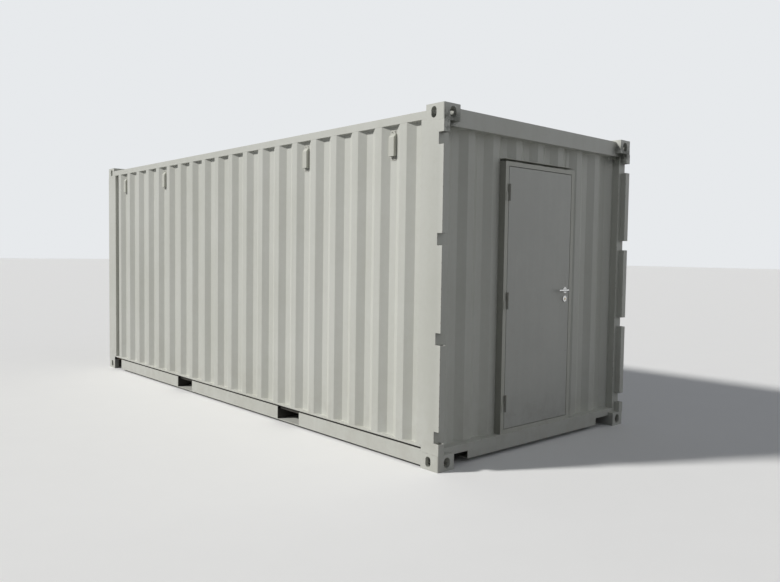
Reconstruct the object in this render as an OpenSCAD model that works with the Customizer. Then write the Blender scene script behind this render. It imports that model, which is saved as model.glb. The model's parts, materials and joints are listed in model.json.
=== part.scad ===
// Shipping container cabin, a 20 ft steel container with a personnel door in an infill wall.
// Millimetres, +Z up, origin at the middle of the footprint, door end at -Y.

/* [Overall] */
// Length over the corner castings
length = 6058; // [6052:1:6064]
// Width over the corner castings
width = 2438; // [2434:1:2442]
// Height over the corner castings
height = 2591; // [2588:1:2596]
// Thickness of folded plate in posts and rails
plate_t = 6; // [4:0.5:7]

/* [Corner castings] */
// Casting length along the container
casting_l = 178; // [176:1:180]
// Casting width across the container
casting_w = 162; // [160:1:163]
// Casting height
casting_h = 118; // [116:1:118]
// Casting wall thickness
casting_wall = 28; // [20:1:30]
// Radius of the outer upright edge
casting_r = 12; // [6:1:14]
// Width of the side aperture along the container
side_hole_w = 51; // [49:0.5:53]
// Width of the end aperture across the container
end_hole_w = 63.5; // [62:0.5:65]
// Height of the side and end apertures
hole_h = 79.5; // [77:0.5:80]
// Length of the top or bottom aperture
plan_hole_l = 124; // [122:0.5:126]
// Width of the top or bottom aperture
plan_hole_w = 63.5; // [62:0.5:65]
// Aperture centre from the container's end
hole_from_end = 101.5; // [100:0.5:103]
// Aperture centre from the container's side
hole_from_side = 89; // [87:0.5:90]

/* [Corrugated sheet] */
// Distance from one recess to the next
pitch = 278; // [276:0.5:280]
// Width of an outer flat
outer_flat = 72; // [68:1:76]
// Width of a slope seen square on
slope = 68; // [64:1:70]
// Depth of a recess
sheet_depth = 36; // [30:1:40]
// Sheet thickness
sheet_t = 2; // [1.6:0.1:3]
// First recess centre from the door end
first_recess = 273; // [271:1:276]

/* [Side rails] */
// Underside of the bottom side rail
rail_bottom = 20; // [16:1:26]
// Top of the rail's outer web
web_top = 137; // [134:1:140]
// Underside of the lip over the groove
lip_bottom = 151; // [149:1:153]
// Top of the bottom side rail
rail_top = 166; // [164:1:170]
// Depth of the groove
groove_depth = 30; // [26:1:32]
// Width of the closing plate on the rail's top
closing_w = 48; // [46:1:50]
// Width of the rail's bottom flange
rail_flange = 60; // [50:1:70]
// End of the bottom rail's web from the blank end
rail_cut = 396; // [390:1:402]
// Size of the square top side rail
top_rail = 60; // [56:1:64]
// Wall of the square top side rail
top_rail_t = 4; // [3:0.5:5]
// Top of the top side rail below the castings' tops
roof_drop = 40; // [36:1:44]

/* [Posts] */
// Width of a door post's box
post_w = 100; // [96:1:102]
// Setback of a door post's box and of the header from the end
post_back = 49; // [46:1:52]
// Depth of a door post's box
post_d = 100; // [90:1:104]
// Width of a door post's nose
nose_w = 60; // [56:1:64]
// Height of a cut-out in the nose
notch_h = 85; // [70:1:95]
// Middle of the lowest cut-out
notch_z = 245; // [240:1:250]
// Reach of a post's side plate from the end
side_plate = 225; // [218:1:228]

/* [Header and sill] */
// Height of the header
header_h = 129; // [126:1:132]
// Top of the header below the castings' tops
header_drop = 15; // [12:1:18]
// Underside of the sill
sill_z = 30; // [24:1:36]
// Top of the sill
sill_top = 150; // [149:1:150]
// Start of a sill cut-out from the middle
sill_cut_x = 855; // [840:1:870]
// Top of a sill cut-out
sill_cut_z = 90; // [80:1:96]

/* [Door end wall] */
// Setback of the door end wall from the end
wall_back = 109; // [107:1:111]
// Middle of the first full outer flat
wall_phase = -808; // [-810:1:-806]

/* [Door frame] */
// Left side of the door frame
frame_x0 = -480; // [-486:1:-474]
// Right side of the door frame
frame_x1 = 432; // [428:1:438]
// Face width of a jamb
frame_face = 40; // [36:1:44]
// Front of the door frame from the wall's outer flats
frame_proud = 56; // [54:1:57]
// Depth of the door frame
frame_depth = 116; // [110:1:120]
// Height of the wall over the door frame
over_door = 186; // [180:1:192]
// Height of the frame's head
head_h = 34; // [30:1:38]
// Height of the threshold
threshold_h = 33; // [28:1:38]
// Sheet thickness of the door frame
frame_t = 2; // [1.5:0.1:3]
// Width of the stop behind the leaf
stop_w = 15; // [12:1:18]
// Width of a jamb's lips at the back
back_lip = 18; // [15:1:20]
// Gap between the frame's top and the drip strip
drip_gap = 17; // [14:1:20]
// Thickness of the drip strip
drip_t = 4; // [3:0.5:6]

/* [Door leaf] */
// Leaf thickness
leaf_t = 44; // [40:1:46]
// Leaf skin thickness
skin_t = 1.5; // [1.2:0.1:2]
// Gap on the hinge side
hinge_gap = 5; // [5:0.5:6]
// Gap on the latch side
latch_gap = 7; // [7:0.5:8]
// Gap over, under and behind the leaf
leaf_gap = 5; // [5:0.5:6]

/* [Hinges] */
// Middle of the lowest hinge over the leaf's foot
hinge_low = 200; // [190:1:210]
// Middle of the middle hinge over the leaf's foot
hinge_mid = 1002; // [980:1:1020]
// Middle of the highest hinge below the leaf's top
hinge_high = 198; // [190:1:210]
// Hinge length
hinge_h = 130; // [120:1:136]
// Hinge axis from the jamb's edge
hinge_off = 2; // [1.5:0.5:3]
// Hinge axis in front of the leaf
hinge_front = 10; // [10:0.5:11]
// Knuckle radius
knuckle_r = 8; // [7:0.5:8]
// Pin radius
pin_r = 4.5; // [4:0.5:5]
// Running clearance of a pin or a neck
play = 0.06; // [0.03:0.01:0.09]
// Gap between the two knuckles
knuckle_gap = 1; // [0.8:0.1:2]
// Width of a hinge flag
flag_w = 34; // [30:1:36]
// Thickness of a hinge flag
flag_t = 4; // [3:0.5:4]

/* [Lever and lock] */
// Lever pivot from the middle of the container
lever_x = 324; // [320:1:328]
// Lever pivot height
lever_z = 1256; // [1250:1:1262]
// Lever length from pivot to tip
lever_l = 124; // [110:1:128]
// Lever bar radius
lever_r = 9; // [8:0.5:9.5]
// Lever bar's middle from the leaf
lever_off = 38; // [36:0.5:39]
// Neck radius
neck_r = 10; // [9:0.5:11]
// Rose radius
rose_r = 26; // [24:0.5:27]
// Rose thickness
rose_t = 8; // [6:0.5:9]
// Spindle width
spindle_w = 8; // [7:0.5:9]
// Lock cylinder below the lever's pivot
cylinder_drop = 72; // [70:0.5:74]
// Radius of the lock cylinder's plug
plug_r = 8.5; // [8:0.5:9]

/* [Fork pockets] */
// Middle between the two pockets
pocket_mid = -147; // [-150:1:-144]
// Distance between the pockets' middles
pocket_step = 2014; // [2008:1:2020]
// Pocket width
pocket_w = 336; // [334:1:340]
// Width of the strap under each pocket end
strap_w = 200; // [180:1:220]
// Weld gap between the plates of a pocket
weld_gap = 0.5; // [0.3:0.1:0.9]
// Top of the pocket's opening
pocket_top = 116; // [112:1:116]

/* [Vents] */
// Vent width
vent_w = 57; // [52:1:60]
// Vent depth from the recess
vent_d = 29; // [26:1:30]
// Top of the vent below the wall's top
vent_drop = 58; // [54:1:62]
// Height of the vent's sloped top
vent_bend = 26; // [22:1:30]
// Height of the vent's upright cover
vent_h = 141; // [136:1:146]

/* [Floor and cross members] */
// Underside of the floor boards
floor_z = 122; // [122:1:122]
// Thickness of a cross member
cross_t = 4; // [3:0.5:5]
// Flange width of a cross member
cross_w = 45; // [40:1:50]
// Distance between cross members, rounded to fit the length
cross_step = 292; // [288:1:294]
// First cross member's middle from the casting
cross_end = 90; // [84:1:96]
// Gap between the floor and the walls
floor_gap = 3; // [2:0.5:5]

/* [Roof] */
// Step from the side rail's face to the roof sheet's edge
roof_inset = 8; // [4:1:14]
// Lap of the end plates under the roof sheet
roof_lap = 30; // [20:1:40]
// Flat margin between the roof's edge and the ribs
roof_margin = 110; // [100:1:120]
// Least flat margin at each end of the roof
roof_end = 30; // [20:1:40]
// Height of a roof rib
rib_h = 20; // [14:1:24]
// Distance between roof ribs
rib_pitch = 209; // [205:1:210]
// Width of a rib's top
rib_top = 91; // [85:1:95]
// Width of a rib's slope
rib_slope = 14; // [12:1:16]

/* [Part] */
// Sub-part to draw

/* [Hidden] */
e = 0.01;
xs = width / 2;
ye = length / 2;
inner_flat = pitch - outer_flat - 2 * slope;
turn = sheet_t * tan(atan(sheet_depth / slope) / 2);
first_outer = first_recess + inner_flat / 2 + slope - ye;
side_flats = floor((ye - side_plate - first_outer - outer_flat - slope) / pitch) + 1;
blank_steps = floor((xs - casting_w - outer_flat / 2 - slope) / pitch);
post_z0 = casting_h;
post_z1 = height - casting_h;
post_in = xs - post_w;
notch_step = (height - 2 * notch_z) / 3;
top_rail_z = height - roof_drop;
header_top = height - header_drop;
header_z = header_top - header_h;
frame_top = header_z - over_door;
wall_z1 = top_rail_z - top_rail;
header_y = post_back - ye;
header_back = header_y + post_d;
wall_y = wall_back - ye;
frame_y = wall_y - frame_proud;
frame_yb = frame_y + frame_depth;
open_x0 = frame_x0 + frame_face;
open_x1 = frame_x1 - frame_face;
open_z0 = sill_top + threshold_h;
open_z1 = frame_top - head_h;
stop_y = frame_y + leaf_t + leaf_gap;
end_x = xs + 2 * pitch;
end_start = wall_phase - ceil((xs + wall_phase) / pitch) * pitch - outer_flat / 2;
end_flats = floor((end_x - end_start - outer_flat - slope) / pitch) + 1;
leaf_x0 = open_x0 + hinge_gap;
leaf_x1 = open_x1 - latch_gap;
leaf_z0 = open_z0 + leaf_gap;
leaf_z1 = open_z1 - leaf_gap;
hinge_x = open_x0 + hinge_off;
hinge_y = frame_y - hinge_front;
hinge_z = [leaf_z0 + hinge_low, leaf_z0 + hinge_mid, leaf_z1 - hinge_high];
vent_z2 = wall_z1 - vent_drop;
vent_z1 = vent_z2 - vent_bend;
vent_z0 = vent_z1 - vent_h;
floor_x = xs - sheet_depth - sheet_t - floor_gap;
pocket_y = [pocket_mid - pocket_step / 2, pocket_mid + pocket_step / 2];
cross_x = xs - plate_t;
vent_recess = [2, 6, side_flats - 4, side_flats];
paint = [0.77, 0.77, 0.74];
door_paint = [0.72, 0.72, 0.7];
steel = [0.62, 0.63, 0.64];
ply = [0.55, 0.42, 0.28];

// Corrugated sheet
// Outer face on y = 0 with recesses towards +Y, slopes and flats along x
function backwards(points) = [for (i = [len(points) - 1 : -1 : 0]) points[i]];

// Corners of the front face, left to right
function front(n, start) = [
  for (i = [0 : n - 1])
    for (p = [
      [-slope, sheet_depth],
      [0, 0],
      [outer_flat, 0],
      [outer_flat + slope, sheet_depth]
    ])
      [start + i * pitch + p[0], p[1]]
];

// The same corners on the back face, moved so that the sheet keeps its thickness
function back(n, start) = [
  for (i = [0 : n - 1])
    for (p = [
      [-slope + turn, sheet_depth + sheet_t],
      [turn, sheet_t],
      [outer_flat - turn, sheet_t],
      [outer_flat + slope - turn, sheet_depth + sheet_t]
    ])
      [start + i * pitch + p[0], p[1]]
];

// Sheet from x0 to x1 with n outer flats, both ends on an inner flat
module sheet(n, start, x0, x1) {
  polygon(concat(
    [[x0, sheet_depth]],
    front(n, start),
    [[x1, sheet_depth], [x1, sheet_depth + sheet_t]],
    backwards(back(n, start)),
    [[x0, sheet_depth + sheet_t]]
  ));
}

// Ring of a box section
module ring(w, h, t) {
  difference() {
    square([w, h]);
    translate([t, t])
      square([w - 2 * t, h - 2 * t]);
  }
}

// Oval with its long way along x
module oval(l, w) {
  translate([-(l - w) / 2, -w / 2])
    square([l - w, w]);
  translate([-(l - w) / 2, 0])
    circle(d = w, $fn = 48);
  translate([(l - w) / 2, 0])
    circle(d = w, $fn = 48);
}

// Corner castings
// Corner of three outer faces on the origin, body towards +X, +Y and +Z
module casting() {
  difference() {
    linear_extrude(casting_h)
      union() {
        translate([casting_r, 0])
          square([casting_w - casting_r, casting_l]);
        translate([0, casting_r])
          square([casting_w, casting_l - casting_r]);
        translate([casting_r, casting_r])
          circle(r = casting_r, $fn = 48);
      }
    translate([casting_wall, casting_wall, casting_wall])
      cube([casting_w - 2 * casting_wall, casting_l - 2 * casting_wall, casting_h - 2 * casting_wall]);
    translate([hole_from_side, hole_from_end, -1])
      rotate([0, 0, 90])
        linear_extrude(casting_wall + 2)
          oval(plan_hole_l, plan_hole_w);
    translate([-1, hole_from_end, casting_h / 2])
      rotate([0, 90, 0])
        linear_extrude(casting_wall + 2)
          oval(hole_h, side_hole_w);
    translate([hole_from_side, -1, casting_h / 2])
      rotate([-90, 0, 0])
        linear_extrude(casting_wall + 2)
          rotate([0, 0, 90])
            oval(hole_h, end_hole_w);
  }
}

module casting_at(sx, sy, top) {
  color(paint)
    translate([sx * xs, sy * ye, top ? height : 0])
      mirror([sx > 0 ? 1 : 0, 0, 0])
        mirror([0, sy > 0 ? 1 : 0, 0])
          mirror([0, 0, top ? 1 : 0])
            casting();
}

module casting_bottom_door_left() {
  casting_at(-1, -1, false);
}

module casting_bottom_door_right() {
  casting_at(1, -1, false);
}

module casting_bottom_blank_left() {
  casting_at(-1, 1, false);
}

module casting_bottom_blank_right() {
  casting_at(1, 1, false);
}

module casting_top_door_left() {
  casting_at(-1, -1, true);
}

module casting_top_door_right() {
  casting_at(1, -1, true);
}

module casting_top_blank_left() {
  casting_at(-1, 1, true);
}

module casting_top_blank_right() {
  casting_at(1, 1, true);
}

// Door end posts
// Side plate past the casting with its return to the sheet, at the left of the door end
module side_tail(z0) {
  translate([-xs, casting_l - ye, z0])
    linear_extrude(wall_z1 - z0)
      union() {
        translate([0, -e])
          square([plate_t, side_plate - casting_l + e]);
        translate([0, side_plate - casting_l - plate_t])
          square([sheet_depth + sheet_t, plate_t]);
      }
}

// Drawn for the left side
module door_post() {
  side_tail(rail_top);
  translate([-xs, 0, post_z0])
    difference() {
      linear_extrude(post_z1 - post_z0)
        union() {
          translate([0, header_y])
            ring(post_w, post_d, plate_t);
          translate([0, -ye])
            difference() {
              square([nose_w, post_back + e]);
              translate([plate_t, plate_t])
                square([nose_w - 2 * plate_t, post_back]);
            }
          translate([0, header_back - e])
            square([plate_t, casting_l - post_back - post_d + e]);
        }
      for (i = [0 : 3])
        translate([-1, -ye - 1, notch_z + i * notch_step - notch_h / 2 - post_z0])
          cube([nose_w + 2, post_back + 1, notch_h]);
    }
}

module door_post_left() {
  color(paint)
    door_post();
}

module door_post_right() {
  color(paint)
    mirror([1, 0, 0])
      door_post();
}

// Blank end posts
module blank_post() {
  mirror([0, 1, 0])
    side_tail(lip_bottom);
  translate([-xs, 0, post_z0])
    linear_extrude(post_z1 - post_z0)
      union() {
        translate([0, ye - casting_l])
          square([plate_t, casting_l]);
        translate([0, ye - plate_t])
          square([casting_w, plate_t]);
        translate([casting_w - plate_t, ye - sheet_depth - sheet_t])
          square([plate_t, sheet_depth + sheet_t]);
      }
}

module blank_post_left() {
  color(paint)
    blank_post();
}

module blank_post_right() {
  color(paint)
    mirror([1, 0, 0])
      blank_post();
}

// Section swept along the left side from y0 to y1, u inwards from the side and v up
module along_side(y0, y1) {
  translate([-xs, y1, 0])
    rotate([90, 0, 0])
      linear_extrude(y1 - y0)
        children();
}

// Top side rails
module top_side_rail() {
  along_side(casting_l - ye, ye - casting_l)
    translate([0, wall_z1])
      ring(top_rail, top_rail, top_rail_t);
}

module top_side_rails() {
  color(paint)
    for (s = [0, 1])
      mirror([s, 0, 0])
        top_side_rail();
}

// Bottom side rails
// Back of the groove with the closing plate and the lip, along the whole side
module rail_section() {
  translate([groove_depth, floor_z])
    square([plate_t, rail_top - floor_z]);
  lip_section();
}

module lip_section() {
  translate([0, rail_top - plate_t])
    square([closing_w, plate_t]);
  translate([0, lip_bottom])
    square([plate_t, rail_top - lip_bottom]);
}

module bottom_side_rail() {
  along_side(casting_l - ye, ye - rail_cut)
    rail_section();
  along_side(ye - rail_cut - e, ye - side_plate)
    lip_section();
}

// Web with its flange and the groove's ledge, in lengths between the pockets
module bottom_side_web() {
  ends = [
    [casting_l - ye, pocket_y[0] - pocket_w / 2],
    [pocket_y[0] + pocket_w / 2, pocket_y[1] - pocket_w / 2],
    [pocket_y[1] + pocket_w / 2, ye - rail_cut]
  ];
  for (p = ends)
    along_side(p[0], p[1])
      union() {
        translate([0, rail_bottom])
          square([plate_t, web_top - rail_bottom]);
        translate([0, rail_bottom])
          square([rail_flange, plate_t]);
        translate([0, web_top - plate_t])
          square([groove_depth, plate_t]);
      }
}

module bottom_rail_left() {
  color(paint)
    bottom_side_rail();
}

module bottom_rail_right() {
  color(paint)
    mirror([1, 0, 0])
      bottom_side_rail();
}

module bottom_web_left() {
  color(paint)
    bottom_side_web();
}

module bottom_web_right() {
  color(paint)
    mirror([1, 0, 0])
      bottom_side_web();
}

// Header and sill
// Section swept across from x0 to x1, u along +Y and v up
module across(x0, x1) {
  translate([x0, 0, 0])
    rotate([90, 0, 90])
      linear_extrude(x1 - x0)
        children();
}

module door_header() {
  color(paint)
    union() {
      across(casting_w - xs, xs - casting_w)
        translate([header_y, header_z])
          ring(post_d, header_top - header_z, plate_t);
      across(-post_in, post_in)
        translate([header_y, header_z])
          square([post_d, plate_t]);
      across(-post_in, post_in)
        translate([header_y, header_z])
          square([plate_t, post_z1 - header_z]);
      across(casting_w - xs, xs - casting_w)
        translate([header_back - e, top_rail_z - plate_t])
          square([casting_l - post_back - post_d + roof_lap, plate_t]);
    }
}

module door_sill() {
  color(paint)
    difference() {
      union() {
        across(casting_w - xs, xs - casting_w)
          translate([header_y, sill_z])
            square([plate_t, sill_top - sill_z]);
        across(casting_w - xs, xs - casting_w)
          translate([header_y, sill_z])
            square([post_d, plate_t]);
        across(-post_in, post_in)
          translate([header_y, sill_top - plate_t])
            square([casting_l - post_back, plate_t]);
        across(-post_in, post_in)
          translate([header_y, post_z0])
            square([plate_t, sill_top - post_z0]);
      }
      for (s = [0, 1])
        mirror([s, 0, 0])
          translate([sill_cut_x, header_y - 1, sill_z - 1])
            cube([xs, post_d + 2, sill_cut_z - sill_z + 1]);
    }
}

// Blank end rails
module blank_top_rail() {
  color(paint)
    across(casting_w - xs, xs - casting_w)
      union() {
        translate([ye - top_rail, wall_z1])
          ring(top_rail, top_rail, top_rail_t);
        translate([ye - casting_l - roof_lap, top_rail_z - plate_t])
          square([casting_l + roof_lap - top_rail + e, plate_t]);
      }
}

module blank_bottom_rail() {
  color(paint)
    across(casting_w - xs, xs - casting_w)
      union() {
        translate([ye - plate_t, sill_z])
          square([plate_t, rail_top - sill_z]);
        translate([ye - rail_flange, sill_z])
          square([rail_flange, plate_t]);
        translate([ye - rail_flange, rail_top - plate_t])
          square([rail_flange, plate_t]);
      }
}

// Side walls
module side_wall() {
  translate([-xs, 0, rail_top])
    mirror([0, 1, 0])
      rotate([0, 0, -90])
        linear_extrude(wall_z1 - rail_top)
          sheet(side_flats, first_outer, side_plate - ye, ye - side_plate);
}

module side_wall_left() {
  color(paint)
    side_wall();
}

module side_wall_right() {
  color(paint)
    mirror([1, 0, 0])
      side_wall();
}

module blank_end_wall() {
  color(paint)
    translate([0, ye, rail_top])
      mirror([0, 1, 0])
        linear_extrude(wall_z1 - rail_top)
          sheet(2 * blank_steps + 1, -blank_steps * pitch - outer_flat / 2, casting_w - xs, xs - casting_w);
}

// Door end wall
// The whole profile, cut to each piece's box
module end_wall_piece(x0, x1, z0) {
  intersection() {
    translate([0, wall_y, z0])
      linear_extrude(header_z - z0)
        sheet(end_flats, end_start, -end_x, end_x);
    translate([x0, wall_y - 1, z0 - 1])
      cube([x1 - x0, sheet_depth + sheet_t + 2, header_z - z0 + 2]);
  }
}

module end_wall_left() {
  color(paint)
    end_wall_piece(-post_in, frame_x0, sill_top);
}

module end_wall_right() {
  color(paint)
    end_wall_piece(frame_x1, post_in, sill_top);
}

module end_wall_over_door() {
  color(paint)
    end_wall_piece(frame_x0, frame_x1, frame_top);
}

// Roof
module rib_line() {
  polygon([
    [0, 0],
    [rib_slope, rib_h],
    [rib_slope + rib_top, rib_h],
    [2 * rib_slope + rib_top, 0]
  ]);
}

module roof_panel() {
  ribs = floor((length - 2 * casting_l - 2 * roof_end) / rib_pitch);
  start = -(ribs * rib_pitch - (rib_pitch - 2 * rib_slope - rib_top)) / 2;
  rib_half = xs - roof_margin;
  edge = ye - casting_l;
  color(paint)
    difference() {
      union() {
        translate([roof_inset - xs, -edge, top_rail_z])
          cube([2 * (xs - roof_inset), 2 * edge, sheet_t]);
        for (i = [0 : ribs - 1])
          across(-rib_half, rib_half)
            translate([start + i * rib_pitch, top_rail_z])
              rib_line();
      }
      for (i = [0 : ribs - 1])
        across(sheet_t - rib_half, rib_half - sheet_t)
          translate([start + i * rib_pitch, top_rail_z - sheet_t])
            rib_line();
    }
}

// Door frame
// Folded sheet section of a jamb, drawn for the left side from its outer face
module jamb_section() {
  square([frame_t, frame_depth]);
  square([frame_face, frame_t]);
  translate([frame_face - frame_t, 0])
    square([frame_t, stop_y - frame_y + frame_t]);
  translate([frame_face - frame_t, stop_y - frame_y])
    square([stop_w + frame_t, frame_t]);
  translate([frame_face + stop_w - frame_t, stop_y - frame_y])
    square([frame_t, frame_depth - stop_y + frame_y]);
  translate([0, frame_depth - frame_t])
    square([back_lip, frame_t]);
  translate([frame_face + stop_w - back_lip, frame_depth - frame_t])
    square([back_lip, frame_t]);
}

module jamb() {
  linear_extrude(frame_top - sill_top)
    jamb_section();
  translate([0, 0, frame_top - sill_top - frame_t])
    linear_extrude(frame_t)
      square([frame_face, frame_depth]);
}

module door_jamb_left() {
  color(door_paint)
    translate([frame_x0, frame_y, sill_top])
      jamb();
}

module door_jamb_right() {
  color(door_paint)
    translate([frame_x1, frame_y, sill_top])
      mirror([1, 0, 0])
        jamb();
}

// Box in front of the stop and a deeper box behind it, with the stop's side at v1
module frame_bar(v0, v1, s0, s1) {
  across(open_x0, open_x1)
    translate([frame_y, v0])
      ring(stop_y - frame_y, v1 - v0, frame_t);
  across(open_x0 + stop_w, open_x1 - stop_w)
    translate([stop_y, s0])
      ring(frame_yb - stop_y, s1 - s0, frame_t);
}

module door_head() {
  color(door_paint)
    frame_bar(open_z1, frame_top, open_z1 - stop_w, frame_top);
}

module door_threshold() {
  color(steel)
    frame_bar(sill_top, open_z0, sill_top, open_z0 + stop_w);
}

// Strip over the frame, cut to the wall's face behind it
module drip_strip() {
  color(door_paint)
    difference() {
      across(frame_x0, frame_x1)
        translate([frame_y, frame_top + drip_gap])
          square([frame_proud + sheet_depth, drip_t]);
      translate([0, wall_y, frame_top])
        linear_extrude(drip_gap + drip_t + 1)
          polygon(concat(
            [[-end_x, 2 * sheet_depth], [-end_x, sheet_depth]],
            front(end_flats, end_start),
            [[end_x, sheet_depth], [end_x, 2 * sheet_depth]]
          ));
    }
}

// Door leaf
module door_leaf() {
  color(door_paint)
    difference() {
      translate([leaf_x0, frame_y, leaf_z0])
        cube([leaf_x1 - leaf_x0, leaf_t, leaf_z1 - leaf_z0]);
      translate([leaf_x0 + skin_t, frame_y + skin_t, leaf_z0 + skin_t])
        cube([leaf_x1 - leaf_x0 - 2 * skin_t, leaf_t - 2 * skin_t, leaf_z1 - leaf_z0 - 2 * skin_t]);
      translate([lever_x, frame_y - 1, lever_z])
        rotate([-90, 0, 0])
          cylinder(r = neck_r + 2, h = leaf_t + 2, $fn = 48);
    }
}

// Hinges
module hinge_axis(z) {
  translate([hinge_x, hinge_y, z])
    children();
}

module hinges_frame_side() {
  color(steel)
    for (z = hinge_z)
      hinge_axis(z) {
        translate([0, 0, -hinge_h / 2])
          cylinder(r = knuckle_r, h = hinge_h / 2 - knuckle_gap / 2, $fn = 48);
        translate([0, 0, -knuckle_gap])
          cylinder(r = pin_r, h = hinge_h / 2 - 6, $fn = 48);
        translate([-flag_w, hinge_front - flag_t, -hinge_h / 2])
          cube([flag_w, flag_t, hinge_h / 2 - knuckle_gap / 2]);
      }
}

module hinges_leaf_side() {
  color(steel)
    for (z = hinge_z)
      hinge_axis(z)
        difference() {
          union() {
            translate([0, 0, knuckle_gap / 2])
              cylinder(r = knuckle_r, h = hinge_h / 2 - knuckle_gap / 2, $fn = 48);
            translate([0, hinge_front - flag_t, knuckle_gap / 2])
              cube([flag_w, flag_t, hinge_h / 2 - knuckle_gap / 2]);
          }
          translate([0, 0, -1])
            cylinder(r = pin_r + play, h = hinge_h / 2 - 4, $fn = 48);
        }
}

// Lever and lock
// Drawn from the leaf's face towards +Z, bar towards -X
module lever() {
  cylinder(r = neck_r, h = lever_off, $fn = 48);
  translate([0, 0, lever_off])
    rotate([0, -90, 0])
      cylinder(r = lever_r, h = lever_l - lever_r, $fn = 48);
  translate([lever_r - lever_l, 0, lever_off])
    sphere(r = lever_r, $fn = 48);
  translate([0, 0, lever_off])
    sphere(r = neck_r, $fn = 48);
}

module lever_outside() {
  color(steel)
    translate([lever_x, frame_y, lever_z])
      union() {
        rotate([90, 0, 0])
          lever();
        translate([-spindle_w / 2, -1, -spindle_w / 2])
          cube([spindle_w, leaf_t + 1, spindle_w]);
      }
}

module lever_inside() {
  color(steel)
    translate([lever_x, frame_y + leaf_t, lever_z])
      mirror([0, 1, 0])
        rotate([90, 0, 0])
          lever();
}

module rose() {
  difference() {
    cylinder(r = rose_r, h = rose_t, $fn = 64);
    translate([0, 0, -1])
      cylinder(r = neck_r + play, h = rose_t + 2, $fn = 48);
  }
}

module cylinder_rose() {
  cylinder(r = rose_r, h = rose_t, $fn = 64);
  cylinder(r = plug_r, h = rose_t + 3, $fn = 48);
}

module lock_furniture() {
  color(steel)
    for (s = [0, 1])
      translate([lever_x, frame_y + s * leaf_t, lever_z])
        mirror([0, s, 0])
          rotate([90, 0, 0]) {
            rose();
            translate([0, -cylinder_drop, 0])
              cylinder_rose();
          }
}

// Fork pockets
// Two webs and a top across the container, a strap under each end
module fork_pocket(y) {
  reach = pocket_w / 2 + plate_t;
  top_x = xs - groove_depth;
  web_z = rail_bottom + plate_t + weld_gap;
  color(paint) {
    for (s = [-1, 1])
      translate([-cross_x, y + s * (reach - plate_t / 2) - plate_t / 2, web_z])
        cube([2 * cross_x, plate_t, pocket_top - weld_gap - web_z]);
    translate([-top_x, y - reach, pocket_top])
      cube([2 * top_x, 2 * reach, floor_z - pocket_top]);
    for (s = [0, 1])
      mirror([s, 0, 0])
        translate([0, y, rail_bottom])
          linear_extrude(plate_t)
            union() {
              translate([rail_flange + weld_gap - xs, -reach])
                square([strap_w - rail_flange - weld_gap, 2 * reach]);
              translate([-xs, weld_gap - pocket_w / 2])
                square([rail_flange + weld_gap + e, pocket_w - 2 * weld_gap]);
            }
  }
}

module fork_pocket_door_end() {
  fork_pocket(pocket_y[0]);
}

module fork_pocket_blank_end() {
  fork_pocket(pocket_y[1]);
}

// Floor
module floor_boards() {
  color(ply)
    translate([-floor_x, casting_l - ye + floor_gap, floor_z])
      cube([2 * floor_x, length - casting_l - rail_flange - 2 * floor_gap, sill_top - floor_z]);
}

// C section beams between the bottom side rails
module cross_members() {
  first = casting_l - ye + cross_end;
  count = round(-2 * first / cross_step);
  ys = [for (i = [0 : count]) first - 2 * i * first / count];
  clear = [
    for (y = ys)
      if (abs(y - pocket_y[0]) > (pocket_w + cross_w) / 2 + 3 * plate_t
        && abs(y - pocket_y[1]) > (pocket_w + cross_w) / 2 + 3 * plate_t) y
  ];
  color(paint)
    for (y = clear)
      across(-cross_x, cross_x)
        translate([y - cross_w / 2, sill_z])
          difference() {
            square([cross_w, floor_z - sill_z]);
            translate([cross_t, cross_t])
              square([cross_w, floor_z - sill_z - 2 * cross_t]);
          }
}

// Side vents
// Hood open underneath, drawn with its back on x = 0 and its front towards -X
module vent() {
  translate([0, vent_w / 2, 0])
    rotate([90, 0, 0])
      difference() {
        linear_extrude(vent_w)
          polygon([[0, vent_z0], [-vent_d, vent_z0], [-vent_d, vent_z1], [-vent_d / 4, vent_z2], [0, vent_z2]]);
        translate([0, 0, sheet_t])
          linear_extrude(vent_w - 2 * sheet_t)
            polygon([
              [-sheet_t, vent_z0 - 1],
              [sheet_t - vent_d, vent_z0 - 1],
              [sheet_t - vent_d, vent_z1 - sheet_t],
              [-sheet_t, vent_z1 - sheet_t]
            ]);
      }
}

module side_vents() {
  color(paint)
    for (s = [0, 1])
      mirror([s, 0, 0])
        for (i = vent_recess)
          translate([sheet_depth - xs, first_recess - ye + (i - 1) * pitch, 0])
            vent();
}

casting_bottom_door_left();
casting_bottom_door_right();
casting_bottom_blank_left();
casting_bottom_blank_right();
casting_top_door_left();
casting_top_door_right();
casting_top_blank_left();
casting_top_blank_right();
door_post_left();
door_post_right();
blank_post_left();
blank_post_right();
top_side_rails();
bottom_rail_left();
bottom_rail_right();
bottom_web_left();
bottom_web_right();
door_header();
door_sill();
blank_top_rail();
blank_bottom_rail();
side_wall_left();
side_wall_right();
blank_end_wall();
end_wall_left();
end_wall_right();
end_wall_over_door();
roof_panel();
door_jamb_left();
door_jamb_right();
door_head();
door_threshold();
drip_strip();
floor_boards();
cross_members();
fork_pocket_door_end();
fork_pocket_blank_end();
side_vents();
hinges_frame_side();
hinges_leaf_side();
door_leaf();
lever_outside();
lever_inside();
lock_furniture();
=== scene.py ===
import json
import math

import bmesh
import bpy
from mathutils import Matrix, Vector

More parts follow.
